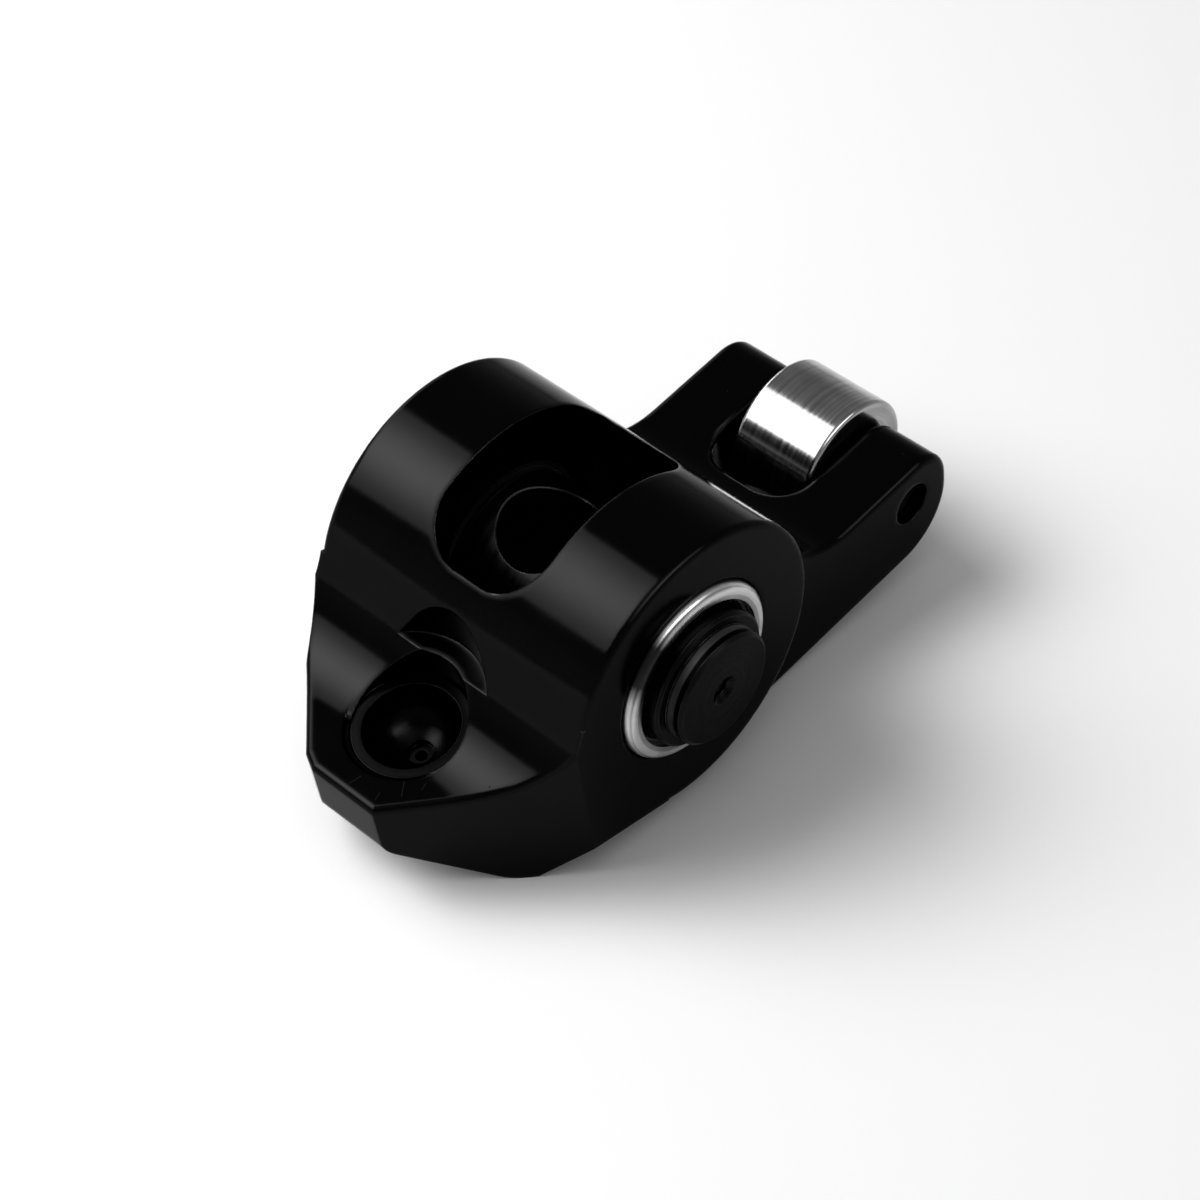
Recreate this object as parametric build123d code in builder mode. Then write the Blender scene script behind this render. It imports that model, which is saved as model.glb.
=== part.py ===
from build123d import *
from math import cos, hypot, pi, radians, sin, sqrt, tan
import os

os.makedirs("parts", exist_ok=True)

# Millimetres, with the origin on the trunnion axis at mid-width, X toward the roller and Z up.
# The rocker lies upside down on a table, so the pushrod cup and the roller face up.
# Lying there, the bolt hole leans back by this angle, and the table is this far below the origin.
bolt_lean = 9.36
table_drop = 18.4

# Barrel, the round middle of the body
barrel_radius = 15.9
barrel_width = 34.8
barrel_shift_x = 0.4
barrel_shift_z = -0.85
barrel_edge_round = 0.7
body_sweep_radius = 11.0

# Nose, which carries the pushrod cup
nose_tip_x = -30.0
nose_top_z = -1.45
nose_front_half = 4.1
nose_crease_x = -20.0
nose_crease_half = 13.5
nose_root_x = -15.6
nose_far_corner = (-29.1, 5.9)
nose_far_crease = (-22.0, 13.2)
nose_front_round = 2.6
nose_front_low_z = -6.9
nose_foot_x = -20.6
nose_foot_round = 3.0
nose_heel_x = -5.5
nose_heel_z = -15.3
nose_edge_round = 0.7
side_bevel_root_z = -12.0

# Arm and its two ears, which carry the roller
arm_half_width = 13.5
arm_top_z = -8.2
arm_tip_x = 41.8
arm_tip_top_round = 4.5
arm_tip_bottom_round = 7.1
arm_heel_x = 13.5
arm_heel_round = 3.0
arm_heel_rise = 35.0
arm_step_round = 2.6
arm_sink = 0.05
pocket_half_width = 5.8
pocket_back_x = 25.0
pocket_corner_round = 4.2
ear_edge_round = 1.0
arm_edge_round = 0.8

# Slot for the bolt and the stand
slot_half_width = 6.93
slot_nose_x = -10.6
slot_arm_x = 12.8
slot_nose_round = 5.1
slot_arm_round = 3.0

# Drawn cup needle bearings, three quarters of an inch outside
bearing_radius = 9.525
bearing_width = 11.1
bearing_stand_out = 0.8
bearing_wall = 0.9
bearing_lip_radius = 7.98
bearing_lip_wall = 0.8
bearing_corner_round = 0.85
bore_chamfer = 0.35
needle_count = 14
needle_end_gap = 0.1
cage_wall = 0.65
cage_rim = 0.9
cage_end_gap = 0.2
cage_pocket_gap = 0.08
running_gap = 0.02

# Trunnion, the shaft that the rocker turns on
journal_radius = 7.3
journal_end_y = 19.5
trunnion_middle_radius = 8.66
trunnion_shoulder_gap = 0.3
stub_radius = 6.1
stub_end_y = 21.36
stub_chamfer = 0.35
bolt_hole_radius = 5.05
bolt_hole_chamfer = 0.15
bolt_seat_z = -7.4
journal_chamfer = 0.3
middle_round = 0.4
centre_hole_radius = 0.95
centre_mouth_radius = 1.55
centre_hole_depth = 2.6

# Pushrod cup, a hard steel insert
cup_x = -20.7
cup_rim_z = -1.5
cup_tilt = 3.0
cup_radius = 5.97
cup_ball_radius = 4.84
cup_ball_depth = 4.65
cup_depth = 8.6
cup_rim_break = 0.15
cup_oil_radius = 0.6
cup_oil_step_radius = 1.35
cup_oil_step_depth = 0.45
cup_mouth_break = 0.36
cup_bore_spare = 1.6
cup_relief_radius = 7.85
cup_relief_z = 2.9
oil_way_radius = 1.2
oil_way_end_x = -9.5
oil_way_end_z = -5.0

# Roller and its axle
axle_x = 36.1
axle_z = -12.9
axle_radius = 2.38
axle_recess = 1.5
axle_end_chamfer = 0.3
roller_radius = 7.65
roller_half_width = 5.05
roller_rest_y = -0.5
roller_edge_round = 0.5
roller_bore_gap = 0.03

lean = radians(bolt_lean)
half_width = barrel_width / 2
bolt_way = (-sin(lean), 0, cos(lean))
arm_way = (cos(lean), 0, sin(lean))
side = Plane(origin=(0, 0, 0), x_dir=arm_way, z_dir=(0, -1, 0))
level = Plane(origin=(0, 0, 0), x_dir=arm_way, z_dir=bolt_way)
barrel_centre = side.from_local_coords((barrel_shift_x, barrel_shift_z, 0))
barrel_plane = Plane(origin=barrel_centre, x_dir=(0, 1, 0), z_dir=arm_way)
barrel_axis = Axis(barrel_centre, (0, 1, 0))
bolt_axis = Axis((0, 0, 0), bolt_way)
arm_axis = Axis((0, 0, 0), arm_way)
beyond = 60.0
hair = 0.01


def table_height(x, radius):
    """Height of the centre of a round that touches the table, at x along the arm."""
    return (radius - table_drop - x * sin(lean)) / cos(lean)


def sweep_points(line_z, way, sink):
    """Start, middle and end of the hollow sweep from a level top up to the barrel.

    It ends the given depth under the barrel's surface.
    """
    touch_radius = barrel_radius - sink
    centre_z = line_z + body_sweep_radius
    reach = touch_radius + body_sweep_radius
    centre_x = barrel_shift_x + way * sqrt(reach**2 - (centre_z - barrel_shift_z) ** 2)
    low = (centre_x, line_z)
    share = touch_radius / reach
    high_x = barrel_shift_x + (centre_x - barrel_shift_x) * share
    high_z = barrel_shift_z + (centre_z - barrel_shift_z) * share
    middle_x = (low[0] + high_x) / 2 - centre_x
    middle_z = (low[1] + high_z) / 2 - centre_z
    stretch = body_sweep_radius / hypot(middle_x, middle_z)
    middle = (centre_x + middle_x * stretch, centre_z + middle_z * stretch)
    return low, middle, (high_x, high_z)


foot_z = table_height(nose_foot_x, nose_foot_round)
heel_z = table_height(arm_heel_x, arm_heel_round)
arm_bottom_z = heel_z - arm_heel_round
arm_heel_slope = radians(arm_heel_rise)
arm_corner_x = arm_heel_x - arm_heel_round * tan(arm_heel_slope / 2)
nose_low, nose_middle, nose_high = sweep_points(nose_top_z, -1, 0)
arm_low, arm_middle, arm_high = sweep_points(arm_top_z, 1, arm_sink)

cup_origin = side.from_local_coords((cup_x, cup_rim_z, 0))
cup_lean = lean + radians(cup_tilt)
cup_plane = Plane(origin=cup_origin, x_dir=(cos(cup_lean), 0, sin(cup_lean)), z_dir=(0, -1, 0))
cup_axis = Axis(cup_origin, cup_plane.y_dir)
mouth_shift = cup_mouth_break * sqrt(0.5)
mouth_origin = side.from_local_coords((cup_x - mouth_shift, nose_top_z, -mouth_shift))
mouth_plane = Plane(origin=mouth_origin, x_dir=arm_way, z_dir=(0, -1, 0))
cup_bore_depth = cup_depth + cup_bore_spare
oil_start = cup_plane.from_local_coords((0, -cup_bore_depth + oil_way_radius, 0))
oil_end = side.from_local_coords((oil_way_end_x, oil_way_end_z, 0))
oil_plane = Plane(origin=oil_start, z_dir=oil_end - oil_start)
oil_way_length = (oil_end - oil_start).length
cup_oil_step_z = -cup_ball_depth
race_radius = bearing_radius - bearing_wall
shell_outer_y = half_width + bearing_stand_out
shell_middle_y = shell_outer_y - bearing_width / 2
trunnion_middle_half = shell_outer_y - bearing_width - trunnion_shoulder_gap
needle_centre_radius = (race_radius + journal_radius) / 2
needle_radius = (race_radius - journal_radius) / 2 - running_gap
cage_length = bearing_width - 2 * bearing_lip_wall - 2 * cage_end_gap
needle_length = cage_length - 2 * cage_rim - 2 * needle_end_gap

# Body of the rocker: aluminium, milled all over and anodised black.
with BuildPart() as rocker_body:
    # Arm in side view, with its hollow sweep up to the barrel
    with BuildSketch(side) as arm_side:
        Polygon(
            (arm_tip_x, arm_top_z),
            (arm_tip_x, arm_bottom_z),
            (arm_corner_x, arm_bottom_z),
            (barrel_shift_x, arm_bottom_z + (arm_corner_x - barrel_shift_x) * tan(arm_heel_slope)),
            (barrel_shift_x, arm_top_z),
            align=None,
        )
        fillet(arm_side.vertices().group_by(Axis.Y)[0].sort_by(Axis.X)[0], radius=arm_heel_round)
        fillet(arm_side.vertices().group_by(Axis.Y)[0].sort_by(Axis.X)[-1], radius=arm_tip_bottom_round)
        fillet(arm_side.vertices().group_by(Axis.Y)[-1].sort_by(Axis.X)[-1], radius=arm_tip_top_round)
        with BuildLine():
            Line((barrel_shift_x, barrel_shift_z), arm_high)
            ThreePointArc(arm_high, arm_middle, arm_low)
            Line(arm_low, (barrel_shift_x, arm_top_z))
            Line((barrel_shift_x, arm_top_z), (barrel_shift_x, barrel_shift_z))
        make_face()
    extrude(amount=half_width, both=True)
    # The arm is narrower than the barrel, and a hollow fillet runs round the step. It ends a
    # little under the barrel's surface.
    with BuildSketch(barrel_plane):
        step_out = arm_half_width + arm_step_round
        step_low = barrel_radius - arm_sink
        step_up = step_low + arm_step_round
        lift = arm_step_round * (1 - sqrt(0.5))
        with BuildLine():
            Line((-arm_half_width, beyond), (-arm_half_width, step_up))
            ThreePointArc(
                (-arm_half_width, step_up),
                (-arm_half_width - lift, step_low + lift),
                (-step_out, step_low),
            )
            Line((-step_out, step_low), (-step_out, 0))
            Line((-step_out, 0), (step_out, 0))
            Line((step_out, 0), (step_out, step_low))
            ThreePointArc(
                (step_out, step_low),
                (arm_half_width + lift, step_low + lift),
                (arm_half_width, step_up),
            )
            Line((arm_half_width, step_up), (arm_half_width, beyond))
            Line((arm_half_width, beyond), (-arm_half_width, beyond))
        make_face()
    revolve(axis=barrel_axis, mode=Mode.INTERSECT)
    # Rounded outer edges along the top of the arm
    arm_edges = rocker_body.edges().filter_by_position(bolt_axis, arm_top_z - hair, arm_top_z + hair)
    fillet(
        arm_edges.filter_by(lambda edge: abs(edge.center().Y) > arm_half_width - hair),
        radius=arm_edge_round,
    )
    # Nose in side view
    with BuildSketch(side):
        with Locations((nose_tip_x + nose_front_round, nose_front_low_z)):
            Circle(nose_front_round)
        with Locations((nose_foot_x, foot_z)):
            Circle(nose_foot_round)
        with BuildLine():
            Line((nose_tip_x, nose_top_z), nose_low)
            Line((nose_heel_x, nose_heel_z), (nose_heel_x, nose_top_z))
        make_hull()
        with BuildLine():
            Line((barrel_shift_x, barrel_shift_z), nose_high)
            ThreePointArc(nose_high, nose_middle, nose_low)
            Line(nose_low, (nose_low[0], foot_z))
            Line((nose_low[0], foot_z), (barrel_shift_x, barrel_shift_z))
        make_face()
    extrude(amount=half_width, both=True)
    # Slanted sides of the nose, with a faint crease. The far side stands a little fuller.
    near_outline = [(nose_crease_x, -nose_crease_half)]
    far_outline = [nose_far_corner, nose_far_crease]
    for way, outline in ((-1, near_outline), (1, far_outline)):
        with BuildSketch(level):
            Polygon(
                (nose_tip_x, way * nose_front_half),
                *outline,
                (nose_root_x, way * half_width),
                (nose_root_x, way * beyond),
                (nose_tip_x - beyond, way * beyond),
                (nose_tip_x - beyond, way * nose_front_half),
                align=None,
            )
        extrude(amount=beyond, both=True, mode=Mode.SUBTRACT)
    # Lower corners of the nose, cut off by a slanted plane on each side
    for way in (-1, 1):
        crease = side.from_local_coords((nose_crease_x, nose_heel_z, -way * nose_crease_half))
        root = side.from_local_coords((nose_root_x, side_bevel_root_z, -way * half_width))
        heel = side.from_local_coords((nose_heel_x, nose_heel_z, -way * half_width))
        inward = (root - crease).cross(heel - crease) * -way
        split(bisect_by=Plane(origin=root, z_dir=inward), keep=Keep.TOP)
    # Barrel with its rounded ends
    with BuildSketch(barrel_plane) as barrel_half:
        with Locations((0, barrel_radius / 2)):
            Rectangle(barrel_width, barrel_radius)
        fillet(barrel_half.vertices().group_by(Axis.Y)[-1], radius=barrel_edge_round)
    revolve(axis=barrel_axis)
    # Slot through the barrel for the stand and the bolt
    with BuildSketch(level) as slot:
        with Locations(((slot_nose_x + slot_arm_x) / 2, 0)):
            Rectangle(slot_arm_x - slot_nose_x, 2 * slot_half_width)
        fillet(slot.vertices().group_by(Axis.X)[0], radius=slot_nose_round)
        fillet(slot.vertices().group_by(Axis.X)[-1], radius=slot_arm_round)
    extrude(amount=beyond, both=True, mode=Mode.SUBTRACT)
    # Bore for the bearings, broken at both mouths
    with BuildSketch(Plane.YZ):
        with BuildLine():
            Polyline(
                (-half_width, 0),
                (-half_width, bearing_radius + bore_chamfer),
                (bore_chamfer - half_width, bearing_radius),
                (half_width - bore_chamfer, bearing_radius),
                (half_width, bearing_radius + bore_chamfer),
                (half_width, 0),
                close=True,
            )
        make_face()
    revolve(axis=Axis.Y, mode=Mode.SUBTRACT)
    # Pocket between the ears, open at the top, the tip and the bottom
    with BuildSketch(level) as pocket:
        with Locations(((pocket_back_x + beyond) / 2, 0)):
            Rectangle(beyond - pocket_back_x, 2 * pocket_half_width)
        fillet(pocket.vertices().group_by(Axis.X)[0], radius=pocket_corner_round)
    extrude(amount=beyond, both=True, mode=Mode.SUBTRACT)
    # Cross hole for the roller axle
    with BuildSketch(side):
        with Locations((axle_x, axle_z)):
            Circle(axle_radius)
    extrude(amount=beyond, both=True, mode=Mode.SUBTRACT)
    # Round relief in the barrel beside the cup, made by the tool that faces the nose
    with BuildSketch(level.offset(cup_relief_z)):
        with Locations((cup_x, 0)):
            Circle(cup_relief_radius)
    extrude(amount=beyond, mode=Mode.SUBTRACT)
    # Bore for the pushrod cup, open to the top beside the barrel
    with BuildSketch(cup_plane):
        with Locations((cup_radius / 2, (beyond - cup_bore_depth) / 2)):
            Rectangle(cup_radius, beyond + cup_bore_depth)
    revolve(axis=cup_axis, mode=Mode.SUBTRACT)
    # Its mouth is broken a little off centre, which leaves a crescent at the far corner.
    with BuildSketch(mouth_plane):
        with BuildLine():
            Polyline(
                (0, -cup_mouth_break),
                (cup_radius, -cup_mouth_break),
                (cup_radius + cup_mouth_break + hair, hair),
                (0, hair),
                close=True,
            )
        make_face()
    revolve(axis=Axis(mouth_origin, bolt_way), mode=Mode.SUBTRACT)
    # Oil way from under the cup to the slot
    with BuildSketch(oil_plane):
        Circle(oil_way_radius)
    extrude(amount=oil_way_length, mode=Mode.SUBTRACT)

    # Rounded edges of the nose's top, which run on up the sweep to the barrel
    nose_edges = rocker_body.edges().filter_by_position(bolt_axis, nose_top_z - hair, nose_top_z + hair)
    fillet(nose_edges.filter_by(GeomType.LINE).sort_by(arm_axis)[:4], radius=nose_edge_round)
    # Rounded edges along the pocket's top
    arm_edges = rocker_body.edges().filter_by_position(bolt_axis, arm_top_z - hair, arm_top_z + hair)
    fillet(
        arm_edges.filter_by(GeomType.LINE).filter_by(
            lambda edge: abs(abs(edge.center().Y) - pocket_half_width) < hair
        ),
        radius=ear_edge_round,
    )
rocker_body.part.label = "rocker_body"
export_step(rocker_body.part, "parts/rocker_body.step")

# Pushrod cup: turned and hardened steel, pressed into the nose, with a drilled oil hole.
with BuildPart() as pushrod_cup:
    with BuildSketch(cup_plane) as cup_half:
        with Locations((cup_radius / 2, -cup_depth / 2)):
            Rectangle(cup_radius, cup_depth)
        chamfer(cup_half.vertices().group_by(Axis.X)[-1], length=cup_rim_break)
    revolve(axis=cup_axis)
    with BuildSketch(cup_plane):
        with BuildLine():
            seat_line = CenterArc((0, -cup_ball_depth + cup_ball_radius), cup_ball_radius, -90, 90)
            Line(seat_line @ 1, (cup_ball_radius, cup_ball_radius))
            Line((cup_ball_radius, cup_ball_radius), (0, cup_ball_radius))
            Line((0, cup_ball_radius), seat_line @ 0)
        make_face()
    revolve(axis=cup_axis, mode=Mode.SUBTRACT)
    with BuildSketch(cup_plane):
        with Locations((cup_oil_radius / 2, -cup_depth / 2)):
            Rectangle(cup_oil_radius, cup_depth)
        with Locations((cup_oil_step_radius / 2, cup_oil_step_z)):
            Rectangle(cup_oil_step_radius, 2 * cup_oil_step_depth)
    revolve(axis=cup_axis, mode=Mode.SUBTRACT)
pushrod_cup.part.label = "pushrod_cup"
export_step(pushrod_cup.part, "parts/pushrod_cup.step")

# Trunnion: turned, ground and hardened steel. The bolt runs through its thick middle.
with BuildPart() as trunnion:
    with BuildSketch(Plane.YZ) as trunnion_half:
        with BuildLine():
            Polyline(
                (-stub_end_y, 0),
                (-stub_end_y, stub_radius - stub_chamfer),
                (stub_chamfer - stub_end_y, stub_radius),
                (-journal_end_y, stub_radius),
                (-journal_end_y, journal_radius - journal_chamfer),
                (journal_chamfer - journal_end_y, journal_radius),
                (-trunnion_middle_half, journal_radius),
                (-trunnion_middle_half, trunnion_middle_radius),
                (trunnion_middle_half, trunnion_middle_radius),
                (trunnion_middle_half, journal_radius),
                (journal_end_y - journal_chamfer, journal_radius),
                (journal_end_y, journal_radius - journal_chamfer),
                (journal_end_y, stub_radius),
                (stub_end_y - stub_chamfer, stub_radius),
                (stub_end_y, stub_radius - stub_chamfer),
                (stub_end_y, 0),
                close=True,
            )
        make_face()
        fillet(trunnion_half.vertices().group_by(Axis.Y)[-1], radius=middle_round)
    revolve(axis=Axis.Y)
    # Centre drillings left from turning
    with BuildSketch(Plane.YZ):
        for way in (-1, 1):
            with BuildLine():
                Polyline(
                    (way * (stub_end_y - centre_hole_depth), 0),
                    (way * (stub_end_y - centre_hole_depth), centre_hole_radius),
                    (way * (stub_end_y - centre_mouth_radius + centre_hole_radius), centre_hole_radius),
                    (way * stub_end_y, centre_mouth_radius),
                    (way * stub_end_y, 0),
                    close=True,
                )
            make_face()
    revolve(axis=Axis.Y, mode=Mode.SUBTRACT)
    # Flat seat for the head of the bolt
    with BuildSketch(level.offset(bolt_seat_z)):
        Rectangle(beyond, 2 * trunnion_middle_half)
    extrude(amount=-beyond, mode=Mode.SUBTRACT)
    # Bolt hole, broken at the stand's side
    with BuildSketch(level):
        Circle(bolt_hole_radius)
    extrude(amount=beyond, both=True, mode=Mode.SUBTRACT)
    stand_mouth = trunnion.edges().filter_by_position(bolt_axis, bolt_hole_radius, beyond)
    chamfer(stand_mouth.filter_by(GeomType.BSPLINE), length=bolt_hole_chamfer)
trunnion.part.label = "trunnion"
export_step(trunnion.part, "parts/trunnion.step")

# Bearings: a drawn steel shell pressed into each mouth of the bore, with a cage and its needles.
for name, way in (("left", -1), ("right", 1)):
    with BuildPart() as shell:
        with BuildSketch(Plane.YZ) as shell_half:
            with Locations((way * shell_middle_y, (bearing_lip_radius + bearing_radius) / 2)):
                Rectangle(bearing_width, bearing_radius - bearing_lip_radius)
            fillet(
                shell_half.vertices().group_by(Axis.Y)[-1].sort_by(Axis.X)[(-way - 1) // 2],
                radius=bearing_corner_round,
            )
            with Locations((way * shell_middle_y, race_radius / 2)):
                Rectangle(bearing_width - 2 * bearing_lip_wall, race_radius, mode=Mode.SUBTRACT)
        revolve(axis=Axis.Y)
    shell.part.label = f"bearing_shell_{name}"
    export_step(shell.part, f"parts/bearing_shell_{name}.step")

    with BuildPart() as cage:
        with BuildSketch(Plane.YZ):
            with Locations((way * shell_middle_y, needle_centre_radius)):
                Rectangle(cage_length, cage_wall)
        revolve(axis=Axis.Y)
        with BuildSketch(Plane.XZ.offset(-way * shell_middle_y)):
            with PolarLocations(needle_centre_radius, needle_count):
                Circle(needle_radius + cage_pocket_gap)
        extrude(amount=needle_length / 2 + needle_end_gap, both=True, mode=Mode.SUBTRACT)
    cage.part.label = f"needle_cage_{name}"
    export_step(cage.part, f"parts/needle_cage_{name}.step")

    for number in range(needle_count):
        turn = 2 * pi * number / needle_count
        place = (needle_centre_radius * cos(turn), 0, needle_centre_radius * sin(turn))
        needle_plane = Plane(origin=place, x_dir=(1, 0, 0), z_dir=(0, -1, 0))
        with BuildPart() as needle:
            with BuildSketch(needle_plane.offset(-way * shell_middle_y)):
                Circle(needle_radius)
            extrude(amount=needle_length / 2, both=True)
        needle.part.label = f"needle_{name}_{number + 1:02d}"
        export_step(needle.part, f"parts/needle_{name}_{number + 1:02d}.step")

# Roller: hardened steel ring that runs on its axle and bears on the valve stem. It has a
# little side play, and it lies against the near ear.
with BuildPart() as roller_tip:
    with BuildSketch(side.offset(-roller_rest_y)):
        with Locations((axle_x, axle_z)):
            Circle(roller_radius)
            Circle(axle_radius + roller_bore_gap, mode=Mode.SUBTRACT)
    extrude(amount=roller_half_width, both=True)
    fillet(
        roller_tip.edges().filter_by(GeomType.CIRCLE).group_by(lambda edge: edge.radius)[-1],
        radius=roller_edge_round,
    )
roller_tip.part.label = "roller_tip"
export_step(roller_tip.part, "parts/roller_tip.step")

# Axle: hardened steel pin pressed into both ears.
with BuildPart() as roller_axle:
    with BuildSketch(side):
        with Locations((axle_x, axle_z)):
            Circle(axle_radius)
    extrude(amount=arm_half_width - axle_recess, both=True)
    chamfer(roller_axle.edges().filter_by(GeomType.CIRCLE), length=axle_end_chamfer)
roller_axle.part.label = "roller_axle"
export_step(roller_axle.part, "parts/roller_axle.step")
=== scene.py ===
import math

import bpy
from mathutils import Matrix, Vector

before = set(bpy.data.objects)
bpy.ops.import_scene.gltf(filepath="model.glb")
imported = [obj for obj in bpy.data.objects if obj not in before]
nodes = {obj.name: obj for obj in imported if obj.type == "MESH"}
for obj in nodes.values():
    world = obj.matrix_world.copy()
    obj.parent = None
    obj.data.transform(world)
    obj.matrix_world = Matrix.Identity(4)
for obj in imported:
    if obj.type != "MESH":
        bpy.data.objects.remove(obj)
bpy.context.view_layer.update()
scene = bpy.context.scene


# Camera, table and light. The rocker lies on a plain white table, in a dim room that pales toward
# the horizon. One large soft light hangs behind it, and a weaker one above. Two strips, in front
# and low behind, show in gloss alone and draw the black shapes that are seen from other sides.
Y_AXIS = Vector((0, 1, 0))
SENSOR_WIDTH = 36.0
CAMERA_LENS = 94.494
CAMERA_NEAR = 0.01
CAMERA_PLACE = Vector((-0.15500, -0.15200, 0.21234))
CAMERA_RIGHT = Vector((0.6872, -0.7265, 0.0))
CAMERA_UP = Vector((0.5113, 0.4836, 0.7104))
CAMERA_BACK = Vector((-0.5161, -0.4882, 0.7038))
TABLE_HEIGHT = -0.0184
TABLE_HALF = 1.6
TABLE_CORNERS = ((-1, -1), (1, -1), (1, 1), (-1, 1))
TABLE_WHITE = (0.87, 0.87, 0.87, 1)
ROOM_COLOUR = (1, 1, 1, 1)
ROOM_GLOW = 0.28
HORIZON_GLOW = 0.55
HORIZON_TOP = 0.5
LAMP_EDGE_SHARE = 0.28
LAMP_MIDDLE = (0.5, 0.5, 0)
LAMP_EDGE = 0.5
LIGHTS = {
    "softbox": {"toward": (-0.40, 0.56, 0.73), "distance": 0.6, "width": 0.6, "depth": 0.46, "glow": 12.6},
    "ceiling": {"toward": (-0.2, -0.3, 0.93), "distance": 0.8, "width": 0.7, "depth": 0.7, "glow": 0.8},
    "front_strip": {"toward": (0.1, -0.66, 0.74), "distance": 0.8, "width": 0.9, "depth": 0.3, "glow": 10.0},
    "back_strip": {"toward": (0.1, 0.86, 0.5), "distance": 0.8, "width": 0.9, "depth": 0.2, "glow": 14.0},
}
GLOSS_LIGHTS = ("front_strip", "back_strip")
NOISE_LEAST = 0.3
NOISE_MOST = 0.7


def add_node(tree, kind, inputs=None, **settings):
    """Adds a shader node. Its inputs are set to values, or linked where a socket is given.

    Inputs go by name, or by number on a node where several share a name.
    """
    node = tree.nodes.new("ShaderNode" + kind)
    for name, value in settings.items():
        setattr(node, name, value)
    for key, value in (inputs or {}).items():
        if isinstance(value, bpy.types.NodeSocket):
            tree.links.new(value, node.inputs[key])
        else:
            node.inputs[key].default_value = value
    return node


def frame_matrix(x_way, y_way, z_way, place):
    """World matrix of an object from the ways its own axes point, and its place."""
    turn = Matrix((x_way, y_way, z_way)).transposed()
    return Matrix.Translation(place) @ turn.to_4x4()


def new_material(name):
    """An empty node material: itself, its tree and its output node."""
    material = bpy.data.materials.new(name)
    material.use_nodes = True
    material.node_tree.nodes.clear()
    output = material.node_tree.nodes.new("ShaderNodeOutputMaterial")
    return material, material.node_tree, output


def scaled(tree, value, low, high, start=NOISE_LEAST, end=NOISE_MOST, kind="LINEAR"):
    """Takes a value that runs from start to end onto low to high, and stops at both."""
    ends = {"Value": value, 1: start, 2: end, 3: low, 4: high}
    return add_node(tree, "MapRange", ends, interpolation_type=kind).outputs[0]


def vectors(tree, operation, first, second):
    """One sum on two vectors, as the outputs of its node: a vector and a number."""
    return add_node(tree, "VectorMath", {0: first, 1: second}, operation=operation).outputs


camera_data = bpy.data.cameras.new("camera")
camera_data.sensor_width = SENSOR_WIDTH
camera_data.lens = CAMERA_LENS
camera_data.clip_start = CAMERA_NEAR
camera = bpy.data.objects.new("camera", camera_data)
camera.matrix_world = frame_matrix(CAMERA_RIGHT, CAMERA_UP, CAMERA_BACK, CAMERA_PLACE)
scene.collection.objects.link(camera)
scene.camera = camera
scene.view_settings.view_transform = "Standard"

table_mesh = bpy.data.meshes.new("table")
corners = [(x * TABLE_HALF, y * TABLE_HALF, TABLE_HEIGHT) for x, y in TABLE_CORNERS]
table_mesh.from_pydata(corners, [], [range(len(corners))])
table = bpy.data.objects.new("table", table_mesh)
scene.collection.objects.link(table)
table_material, tree, output = new_material("white_table")
table_shader = add_node(tree, "BsdfDiffuse", {"Color": TABLE_WHITE})
tree.links.new(table_shader.outputs[0], output.inputs["Surface"])
table_mesh.materials.append(table_material)

world = bpy.data.worlds.new("dim_room")
world.use_nodes = True
tree = world.node_tree
toward = add_node(tree, "TexCoord")
height = add_node(tree, "SeparateXYZ", {0: toward.outputs["Generated"]})
room_glow = scaled(tree, height.outputs["Z"], HORIZON_GLOW, ROOM_GLOW, 0.0, HORIZON_TOP, "SMOOTHSTEP")
tree.nodes["Background"].inputs["Color"].default_value = ROOM_COLOUR
tree.links.new(room_glow, tree.nodes["Background"].inputs["Strength"])
scene.world = world

for name, light in LIGHTS.items():
    light_back = Vector(light["toward"]).normalized()
    light_right = Y_AXIS.cross(light_back).normalized()
    light_up = light_back.cross(light_right)
    light_place = light_back * light["distance"]
    light_data = bpy.data.lights.new(name, "AREA")
    light_data.shape = "RECTANGLE"
    light_data.size = light["width"]
    light_data.size_y = light["depth"]
    light_data.energy = light["glow"] * math.pi * light["width"] * light["depth"]
    light_data.use_nodes = True
    tree = light_data.node_tree
    spot = add_node(tree, "NewGeometry").outputs["Parametric"]
    from_middle = vectors(tree, "DISTANCE", spot, LAMP_MIDDLE)["Value"]
    glow_share = scaled(tree, from_middle, 1.0, LAMP_EDGE_SHARE, 0.0, LAMP_EDGE, "SMOOTHSTEP")
    tree.links.new(glow_share, tree.nodes["Emission"].inputs["Strength"])
    light_object = bpy.data.objects.new(name, light_data)
    light_object.matrix_world = frame_matrix(light_right, light_up, light_back, light_place)
    light_object.visible_diffuse = name not in GLOSS_LIGHTS
    scene.collection.objects.link(light_object)


# Body of the rocker: aluminium, milled all over, tumbled and anodised black. The oxide is glossy
# and very dark, with faint waves, fine grain and dust specks. Tumbling rounded its edges and wore
# them a little paler; that pale edge tone is partly a painted highlight, which stands in for the
# thin bright lines that the rounded edges reflect. Handling left a few hair scratches on the nose.
BODY_BLACK = (0.0048, 0.0048, 0.0048, 1)
BODY_HAZE = (0.0062, 0.0062, 0.0062, 1)
BODY_WEAR_AND_HIGHLIGHT = (0.030, 0.030, 0.030, 1)
BODY_SCRATCHED = (0.032, 0.032, 0.032, 1)
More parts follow.
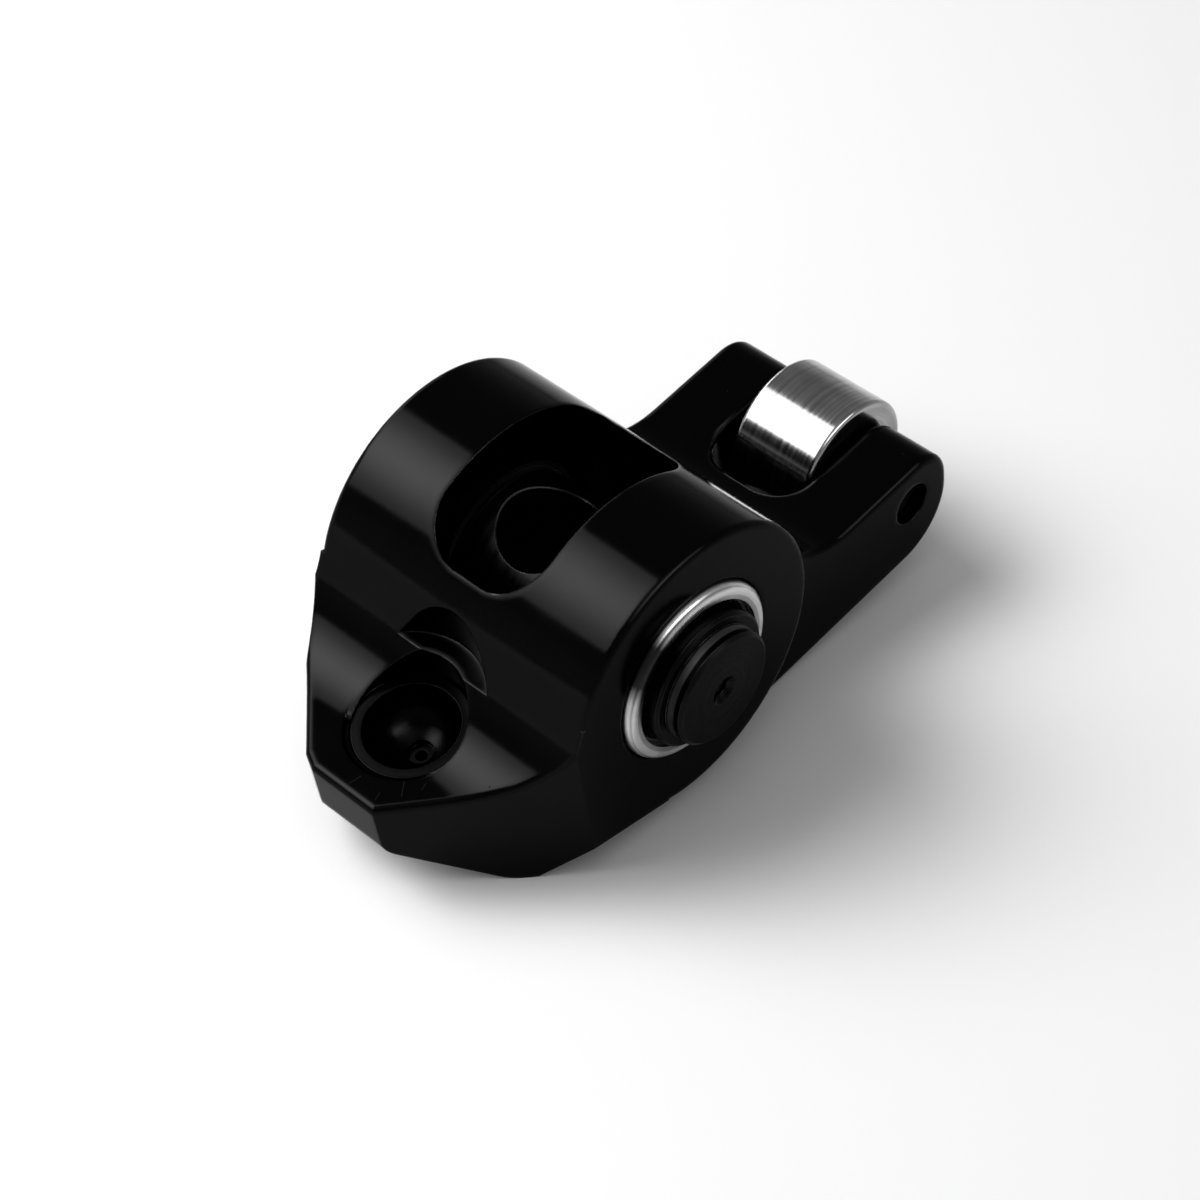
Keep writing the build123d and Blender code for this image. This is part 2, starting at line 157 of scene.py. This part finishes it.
# Black oxide mirrors less at a grazing angle than bare metal does
GRAZING_TINT = (0.6, 0.6, 0.6, 1)
BODY_ROUGH = (0.09, 0.14)
BODY_GRAIN_SIZE = 0.00012
BODY_GRAIN_DEPTH = 0.0000018
BODY_EDGE_RADIUS = 0.00022
BODY_EDGE_WEAR = 2.0
BODY_TUMBLED_RADIUS = 0.0010
BODY_TUMBLED_SHARE = 0.25
BODY_WAVE_FREQUENCY = 500.0
BODY_WAVE_DETAIL = 1.0
BODY_WAVE_DEPTH = 0.000004
BODY_SPECK_SPACING = 0.0011
BODY_SPECK_SIZE = 0.09
BODY_SPECK_SHARE = 0.10
BODY_SPECK_ROUGH = 0.6
NOSE_LEAN = math.radians(9.36)
NOSE_TOP = -0.00145
NOSE_SCRATCHES = (
    {"start": (-0.02899, -0.00017), "end": (-0.02778, -0.00041), "half": 0.00005},
    {"start": (-0.02698, -0.00504), "end": (-0.02552, -0.00398), "half": 0.00005},
    {"start": (-0.02530, -0.00607), "end": (-0.02450, -0.00580), "half": 0.00004},
    {"start": (-0.02886, -0.00341), "end": (-0.02800, -0.00315), "half": 0.00004},
)
FINE_DETAIL = 3.0
CLOUD_DETAIL = 4.0
CLOUD_FREQUENCY_SHARE = 0.02
ROUNDING_SAMPLES = 6
WEAR_PATCH_FREQUENCY = 1500.0
WEAR_PATCH_START = 0.35
WEAR_PATCH_END = 0.6


def new_group(name, inputs, outputs):
    """An empty node group with named sockets: itself, its input node and its output node."""
    group = bpy.data.node_groups.new(name, "ShaderNodeTree")
    for way, sockets in (("INPUT", inputs), ("OUTPUT", outputs)):
        for socket, kind in sockets.items():
            group.interface.new_socket(socket, in_out=way, socket_type="NodeSocket" + kind)
    return group, group.nodes.new("NodeGroupInput"), group.nodes.new("NodeGroupOutput")


def add_group(tree, group, **values):
    """Adds a node group to a material, with its own values."""
    return add_node(tree, "Group", values, node_tree=group)


def maths(tree, operation, first, second=0.0, clamped=False):
    """One sum on two numbers."""
    return add_node(tree, "Math", {0: first, 1: second}, operation=operation, use_clamp=clamped).outputs[0]


def mixed(tree, share, low, high):
    """Blend of two colours by a share from 0 to 1."""
    return add_node(tree, "Mix", {0: share, 6: low, 7: high}, data_type="RGBA").outputs[2]


def stretched(tree, vector, times):
    """A vector made longer or shorter by a number."""
    return add_node(tree, "VectorMath", {0: vector, "Scale": times}, operation="SCALE").outputs[0]


def place_on_piece(tree):
    """Place of the spot that is shaded, in a frame that moves with the piece."""
    return add_node(tree, "TexCoord").outputs["Object"]


def noise(tree, place, frequency, detail):
    """Plain noise from 0 to 1."""
    return add_node(tree, "TexNoise", {"Vector": place, "Scale": frequency, "Detail": detail}).outputs[0]


# Fine grain, and soft clouds of a size that goes with it
grain_group, group_in, group_out = new_group("grain", {"Size": "Float"}, {"Fine": "Float", "Cloudy": "Float"})
fine_frequency = maths(grain_group, "DIVIDE", 1.0, group_in.outputs["Size"])
cloud_frequency = maths(grain_group, "MULTIPLY", fine_frequency, CLOUD_FREQUENCY_SHARE)
place = place_on_piece(grain_group)
fine = noise(grain_group, place, fine_frequency, FINE_DETAIL)
cloudy = noise(grain_group, place, cloud_frequency, CLOUD_DETAIL)
grain_group.links.new(fine, group_out.inputs["Fine"])
grain_group.links.new(cloudy, group_out.inputs["Cloudy"])

# Edges that are rounded a little, with a patchy mask of where they are
edge_group, group_in, group_out = new_group(
    "rounded_edges", {"Radius": "Float", "Wear": "Float"}, {"Normal": "Vector", "Edge": "Float"}
)
radius = group_in.outputs["Radius"]
rounded = add_node(edge_group, "Bevel", {"Radius": radius}, samples=ROUNDING_SAMPLES).outputs[0]
flat = add_node(edge_group, "NewGeometry").outputs["Normal"]
agreement = vectors(edge_group, "DOT_PRODUCT", rounded, flat)["Value"]
bend = maths(edge_group, "MULTIPLY", maths(edge_group, "SUBTRACT", 1.0, agreement), group_in.outputs["Wear"])
patches = noise(edge_group, place_on_piece(edge_group), WEAR_PATCH_FREQUENCY, FINE_DETAIL)
patchy = scaled(edge_group, patches, 0.0, 1.0, WEAR_PATCH_START, WEAR_PATCH_END)
edge_mask = maths(edge_group, "MULTIPLY", bend, patchy, clamped=True)
edge_group.links.new(rounded, group_out.inputs["Normal"])
edge_group.links.new(edge_mask, group_out.inputs["Edge"])

# Small specks of dust and pits, one in some of the cells
speck_group, group_in, group_out = new_group(
    "specks", {"Spacing": "Float", "Size": "Float", "Share": "Float"}, {"Speck": "Float"}
)
cell_frequency = maths(speck_group, "DIVIDE", 1.0, group_in.outputs["Spacing"])
cells = add_node(speck_group, "TexVoronoi", {"Vector": place_on_piece(speck_group), "Scale": cell_frequency})
draw = add_node(speck_group, "SeparateColor", {0: cells.outputs["Color"]})
size_here = maths(speck_group, "MULTIPLY", draw.outputs[1], group_in.outputs["Size"])
inside = maths(speck_group, "LESS_THAN", cells.outputs["Distance"], size_here)
chosen = maths(speck_group, "LESS_THAN", draw.outputs[0], group_in.outputs["Share"])
speck_group.links.new(maths(speck_group, "MULTIPLY", inside, chosen), group_out.inputs["Speck"])

# A hair scratch: everything within half its width of the line between its ends
hair_group, group_in, group_out = new_group(
    "hair_scratch", {"Start": "Vector", "End": "Vector", "Half": "Float"}, {"Mask": "Float"}
)
start = group_in.outputs["Start"]
reach = vectors(hair_group, "SUBTRACT", group_in.outputs["End"], start)[0]
offset = vectors(hair_group, "SUBTRACT", place_on_piece(hair_group), start)[0]
covered = vectors(hair_group, "DOT_PRODUCT", offset, reach)["Value"]
whole = vectors(hair_group, "DOT_PRODUCT", reach, reach)["Value"]
share = maths(hair_group, "DIVIDE", covered, whole, clamped=True)
away = vectors(hair_group, "DISTANCE", offset, stretched(hair_group, reach, share))["Value"]
hair_group.links.new(maths(hair_group, "LESS_THAN", away, group_in.outputs["Half"]), group_out.inputs["Mask"])


def on_nose(spot):
    """Place of a spot on the nose's flat top, given along the arm and across it."""
    along, across = spot
    return (
        along * math.cos(NOSE_LEAN) - NOSE_TOP * math.sin(NOSE_LEAN),
        across,
        along * math.sin(NOSE_LEAN) + NOSE_TOP * math.cos(NOSE_LEAN),
    )


material, tree, output = new_material("black_anodised_finish")
grain = add_group(tree, grain_group, Size=BODY_GRAIN_SIZE)
edges = add_group(tree, edge_group, Radius=BODY_EDGE_RADIUS, Wear=BODY_EDGE_WEAR)
tumbled = add_group(tree, edge_group, Radius=BODY_TUMBLED_RADIUS)
specks = add_group(
    tree, speck_group, Spacing=BODY_SPECK_SPACING, Size=BODY_SPECK_SIZE, Share=BODY_SPECK_SHARE
)
normals = {0: BODY_TUMBLED_SHARE, 4: edges.outputs["Normal"], 5: tumbled.outputs["Normal"]}
shape = add_node(tree, "Mix", normals, data_type="VECTOR").outputs[1]
wave_height = noise(tree, place_on_piece(tree), BODY_WAVE_FREQUENCY, BODY_WAVE_DETAIL)
waves = add_node(tree, "Bump", {"Height": wave_height, "Distance": BODY_WAVE_DEPTH, "Normal": shape})
surface = add_node(
    tree,
    "Bump",
    {"Height": grain.outputs["Fine"], "Distance": BODY_GRAIN_DEPTH, "Normal": waves.outputs[0]},
)
haze = mixed(tree, grain.outputs["Cloudy"], BODY_BLACK, BODY_HAZE)
# Pale edges: partly real wear, partly a painted highlight of the bright lines along the edges
colour = mixed(tree, edges.outputs["Edge"], haze, BODY_WEAR_AND_HIGHLIGHT)
for scratch in NOSE_SCRATCHES:
    hair = add_group(
        tree,
        hair_group,
        Start=on_nose(scratch["start"]),
        End=on_nose(scratch["end"]),
        Half=scratch["half"],
    )
    colour = mixed(tree, hair.outputs["Mask"], colour, BODY_SCRATCHED)
roughness = scaled(tree, grain.outputs["Cloudy"], *BODY_ROUGH)
pitted = maths(tree, "MULTIPLY", specks.outputs["Speck"], BODY_SPECK_ROUGH)
shader = add_node(
    tree,
    "BsdfPrincipled",
    {
        "Base Color": colour,
        "Roughness": maths(tree, "ADD", roughness, pitted),
        "Metallic": 1.0,
        "Specular Tint": GRAZING_TINT,
        "Normal": surface.outputs[0],
    },
)
tree.links.new(shader.outputs[0], output.inputs["Surface"])
nodes["rocker_body"].material_slots[0].material = material


# Pushrod cup: turned from steel, hardened, blackened and pressed into the nose. Fine turning
# marks run round its rim and seat, and its sharp edges are rubbed a little paler.
CUP_FINISH = {
    "dark": (0.0022, 0.0022, 0.0022, 1),
    "pale": (0.0045, 0.0045, 0.0045, 1),
    "worn": (0.02, 0.02, 0.02, 1),
    "rough": (0.18, 0.26),
    "pitch": 0.00016,
    "depth": 0.000003,
    "edge_radius": 0.00012,
}
CUP_MIDDLE = (-0.02018, 0.0, -0.00485)
CUP_WAY = (-0.2141, 0.0, 0.9768)
BLACKENED = {"Metallic": 1.0, "Specular Tint": GRAZING_TINT}
STREAK_FREQUENCY_SHARE = 0.25
STREAK_DETAIL = 2.0
GRAIN_HEIGHT_SHARE = 0.3
EDGE_WEAR = 1.5
TARNISH_GAIN = 1.2
TARNISH_START = 0.15
TARNISH_END = 0.45
FADE_START = 0.6
RUBBED_LEAST = 0.3

# Turning marks: rings on faces square to the axis, and lines round the faces along it
turned_group, group_in, group_out = new_group(
    "turned_marks",
    {"Middle": "Vector", "Way": "Vector", "Pitch": "Float"},
    {"Marks": "Float", "Streaks": "Float"},
)
way = group_in.outputs["Way"]
offset = vectors(turned_group, "SUBTRACT", place_on_piece(turned_group), group_in.outputs["Middle"])[0]
along = vectors(turned_group, "DOT_PRODUCT", offset, way)["Value"]
outward = vectors(turned_group, "DISTANCE", offset, stretched(turned_group, way, along))["Value"]
rings = add_node(turned_group, "CombineXYZ", {"X": outward, "Y": along}).outputs[0]
mark_frequency = maths(turned_group, "DIVIDE", 1.0, group_in.outputs["Pitch"])
streak_frequency = maths(turned_group, "MULTIPLY", mark_frequency, STREAK_FREQUENCY_SHARE)
marks = noise(turned_group, rings, mark_frequency, FINE_DETAIL)
streaks = noise(turned_group, rings, streak_frequency, STREAK_DETAIL)
turned_group.links.new(marks, group_out.inputs["Marks"])
turned_group.links.new(streaks, group_out.inputs["Streaks"])


def turned_steel(name, finish, middle, way, **plain):
    """Material of a turned or ground piece. Plain settings go on the shader's own sockets.

    The surface clouds between the finish's dark and pale tones, and its edges take the worn one.
    A finish may have a ring that is rubbed bare at both ends of the piece, or a dark patch of painted shade
    that stands in for a reflected shadow.
    """
    material, tree, output = new_material(name)
    turned = add_group(tree, turned_group, Middle=middle, Way=way, Pitch=finish["pitch"])
    grain = add_group(tree, grain_group, Size=finish["pitch"])
    edges = add_group(tree, edge_group, Radius=finish["edge_radius"], Wear=EDGE_WEAR)
    streaks = turned.outputs["Streaks"]
    grain_height = maths(tree, "MULTIPLY", grain.outputs["Fine"], GRAIN_HEIGHT_SHARE)
    height = maths(tree, "ADD", turned.outputs["Marks"], grain_height)
    relief = {"Height": height, "Distance": finish["depth"], "Normal": edges.outputs["Normal"]}
    surface = add_node(tree, "Bump", relief)
    clouds = maths(tree, "MULTIPLY", grain.outputs["Cloudy"], TARNISH_GAIN)
    cleaned = maths(tree, "MULTIPLY", clouds, streaks)
    pale_share = scaled(tree, cleaned, 0.0, 1.0, TARNISH_START, TARNISH_END)
    colour = mixed(tree, pale_share, finish["dark"], finish["pale"])
    colour = mixed(tree, edges.outputs["Edge"], colour, finish["worn"])
    roughness = scaled(tree, streaks, *finish["rough"])
    if "ring" in finish:
        ring = finish["ring"]
        spot = add_node(tree, "SeparateXYZ", {0: place_on_piece(tree)})
        from_line = maths(tree, "SUBTRACT", maths(tree, "ABSOLUTE", spot.outputs["Y"]), ring["line"])
        off_line = maths(tree, "ABSOLUTE", from_line)
        nearness = scaled(tree, off_line, 1.0, 0.0, ring["half"] * FADE_START, ring["half"])
        bare = maths(tree, "MULTIPLY", nearness, scaled(tree, grain.outputs["Cloudy"], RUBBED_LEAST, 1.0))
        colour = mixed(tree, bare, colour, ring["tone"])
        roughness = maths(tree, "ADD", roughness, maths(tree, "MULTIPLY", bare, ring["rougher"]))
    # A dark patch of painted shade, which stands in for a reflected shadow
    if "patch" in finish:
        patch = finish["patch"]
        away = vectors(tree, "DISTANCE", place_on_piece(tree), patch["middle"])["Value"]
        ragged = maths(tree, "ADD", away, maths(tree, "MULTIPLY", streaks, patch["ragged"]))
        painted_shade = scaled(tree, ragged, 1.0, 0.0, patch["half"] * FADE_START, patch["half"])
        colour = mixed(tree, painted_shade, colour, patch["tone"])
    inputs = {"Base Color": colour, "Roughness": roughness, "Normal": surface.outputs[0]}
    shader = add_node(tree, "BsdfPrincipled", inputs)
    for socket, value in plain.items():
        shader.inputs[socket].default_value = value
    tree.links.new(shader.outputs[0], output.inputs["Surface"])
    return material


nodes["pushrod_cup"].material_slots[0].material = turned_steel(
    "blackened_cup_finish", CUP_FINISH, CUP_MIDDLE, CUP_WAY, **BLACKENED
)


# Bearing shells: cups drawn from thin steel sheet and pressed into the bore. They are bright,
# with faint drawing marks round the lip. The near one has a dark patch on its lip: painted shade,
# which stands in for the shadow that its lip reflects.
SHAFT_MIDDLE = (0, 0, 0)
SHAFT_WAY = (0.0, 1.0, 0.0)
BRIGHT_STEEL = {
    "dark": (0.06, 0.06, 0.06, 1),
    "pale": (0.58, 0.58, 0.58, 1),
    "worn": (0.58, 0.58, 0.58, 1),
    "edge_radius": 0.0001,
}
SHELL_FINISH = {
    **BRIGHT_STEEL,
    "rough": (0.2, 0.34),
    "pitch": 0.00016,
    "depth": 0.000003,
    # Painted shade: a dark patch on the near lip, in place of the shadow it reflects
    "patch": {
        "middle": (-0.0066, -0.0174, 0.0054),
        "half": 0.0048,
        "ragged": 0.0012,
        "tone": (0.02, 0.02, 0.02, 1),
    },
}
shell_finish = turned_steel("drawn_shell_finish", SHELL_FINISH, SHAFT_MIDDLE, SHAFT_WAY, Metallic=1.0)
for side in ("left", "right"):
    nodes[f"bearing_shell_{side}"].material_slots[0].material = shell_finish


# Cages and needles: black moulded cages that space bright ground needles round the trunnion.
# They are hidden in their shells and only show when the trunnion is drawn out.
CAGE_FINISH = {
    "dark": (0.012, 0.012, 0.012, 1),
    "pale": (0.03, 0.03, 0.03, 1),
    "worn": (0.03, 0.03, 0.03, 1),
    "rough": (0.45, 0.6),
    "pitch": 0.0003,
    "depth": 0.000004,
    "edge_radius": 0.0001,
}
CAGE_IOR = 1.45
NEEDLE_FINISH = {**BRIGHT_STEEL, "rough": (0.12, 0.2), "pitch": 0.0001, "depth": 0.000001}
cage_finish = turned_steel("moulded_cage_finish", CAGE_FINISH, SHAFT_MIDDLE, SHAFT_WAY, IOR=CAGE_IOR)
needle_finish = turned_steel("ground_needle_finish", NEEDLE_FINISH, SHAFT_MIDDLE, SHAFT_WAY, Metallic=1.0)
for name, node in nodes.items():
    if name.startswith("needle_cage"):
        node.material_slots[0].material = cage_finish
    elif name.startswith("needle"):
        node.material_slots[0].material = needle_finish


# Trunnion: turned steel shaft, hardened, blackened and ground on its journals. Turning marks run
# round its ends, its edges are worn pale, and a ring on the stub at each end is rubbed bare.
TRUNNION_FINISH = {
    "dark": (0.0045, 0.0045, 0.0045, 1),
    "pale": (0.011, 0.011, 0.011, 1),
    "worn": (0.12, 0.12, 0.12, 1),
    "rough": (0.2, 0.32),
    "pitch": 0.00022,
    "depth": 0.0000025,
    "edge_radius": 0.00012,
    "ring": {"line": 0.02004, "half": 0.00046, "tone": (0.22, 0.22, 0.22, 1), "rougher": 0.2},
}
nodes["trunnion"].material_slots[0].material = turned_steel(
    "blackened_trunnion_finish", TRUNNION_FINISH, SHAFT_MIDDLE, SHAFT_WAY, **BLACKENED
)


# Roller: hardened steel ring, ground bright round its outside, where it runs on the valve. It
# turns on the axle, between the two ears.
ROLLER_MIDDLE = (0.03772, 0.0, -0.00686)
ROLLER_FINISH = {
    "dark": (0.20, 0.20, 0.20, 1),
    "pale": (0.38, 0.38, 0.38, 1),
    "worn": (0.38, 0.38, 0.38, 1),
    "rough": (0.12, 0.18),
    "pitch": 0.00012,
    "depth": 0.000001,
    "edge_radius": 0.00015,
}
nodes["roller_tip"].material_slots[0].material = turned_steel(
    "ground_roller_finish", ROLLER_FINISH, ROLLER_MIDDLE, SHAFT_WAY, Metallic=1.0
)


# Roller axle: hardened pin, blackened, pressed into the ears and set in from their outsides.
# Turning marks run round its ends.
AXLE_FINISH = {
    "dark": (0.012, 0.012, 0.012, 1),
    "pale": (0.04, 0.04, 0.04, 1),
    "worn": (0.04, 0.04, 0.04, 1),
    "rough": (0.3, 0.4),
    "pitch": 0.0002,
    "depth": 0.000004,
    "edge_radius": 0.0001,
}
nodes["roller_axle"].material_slots[0].material = turned_steel(
    "blackened_axle_finish", AXLE_FINISH, ROLLER_MIDDLE, SHAFT_WAY, **BLACKENED
)
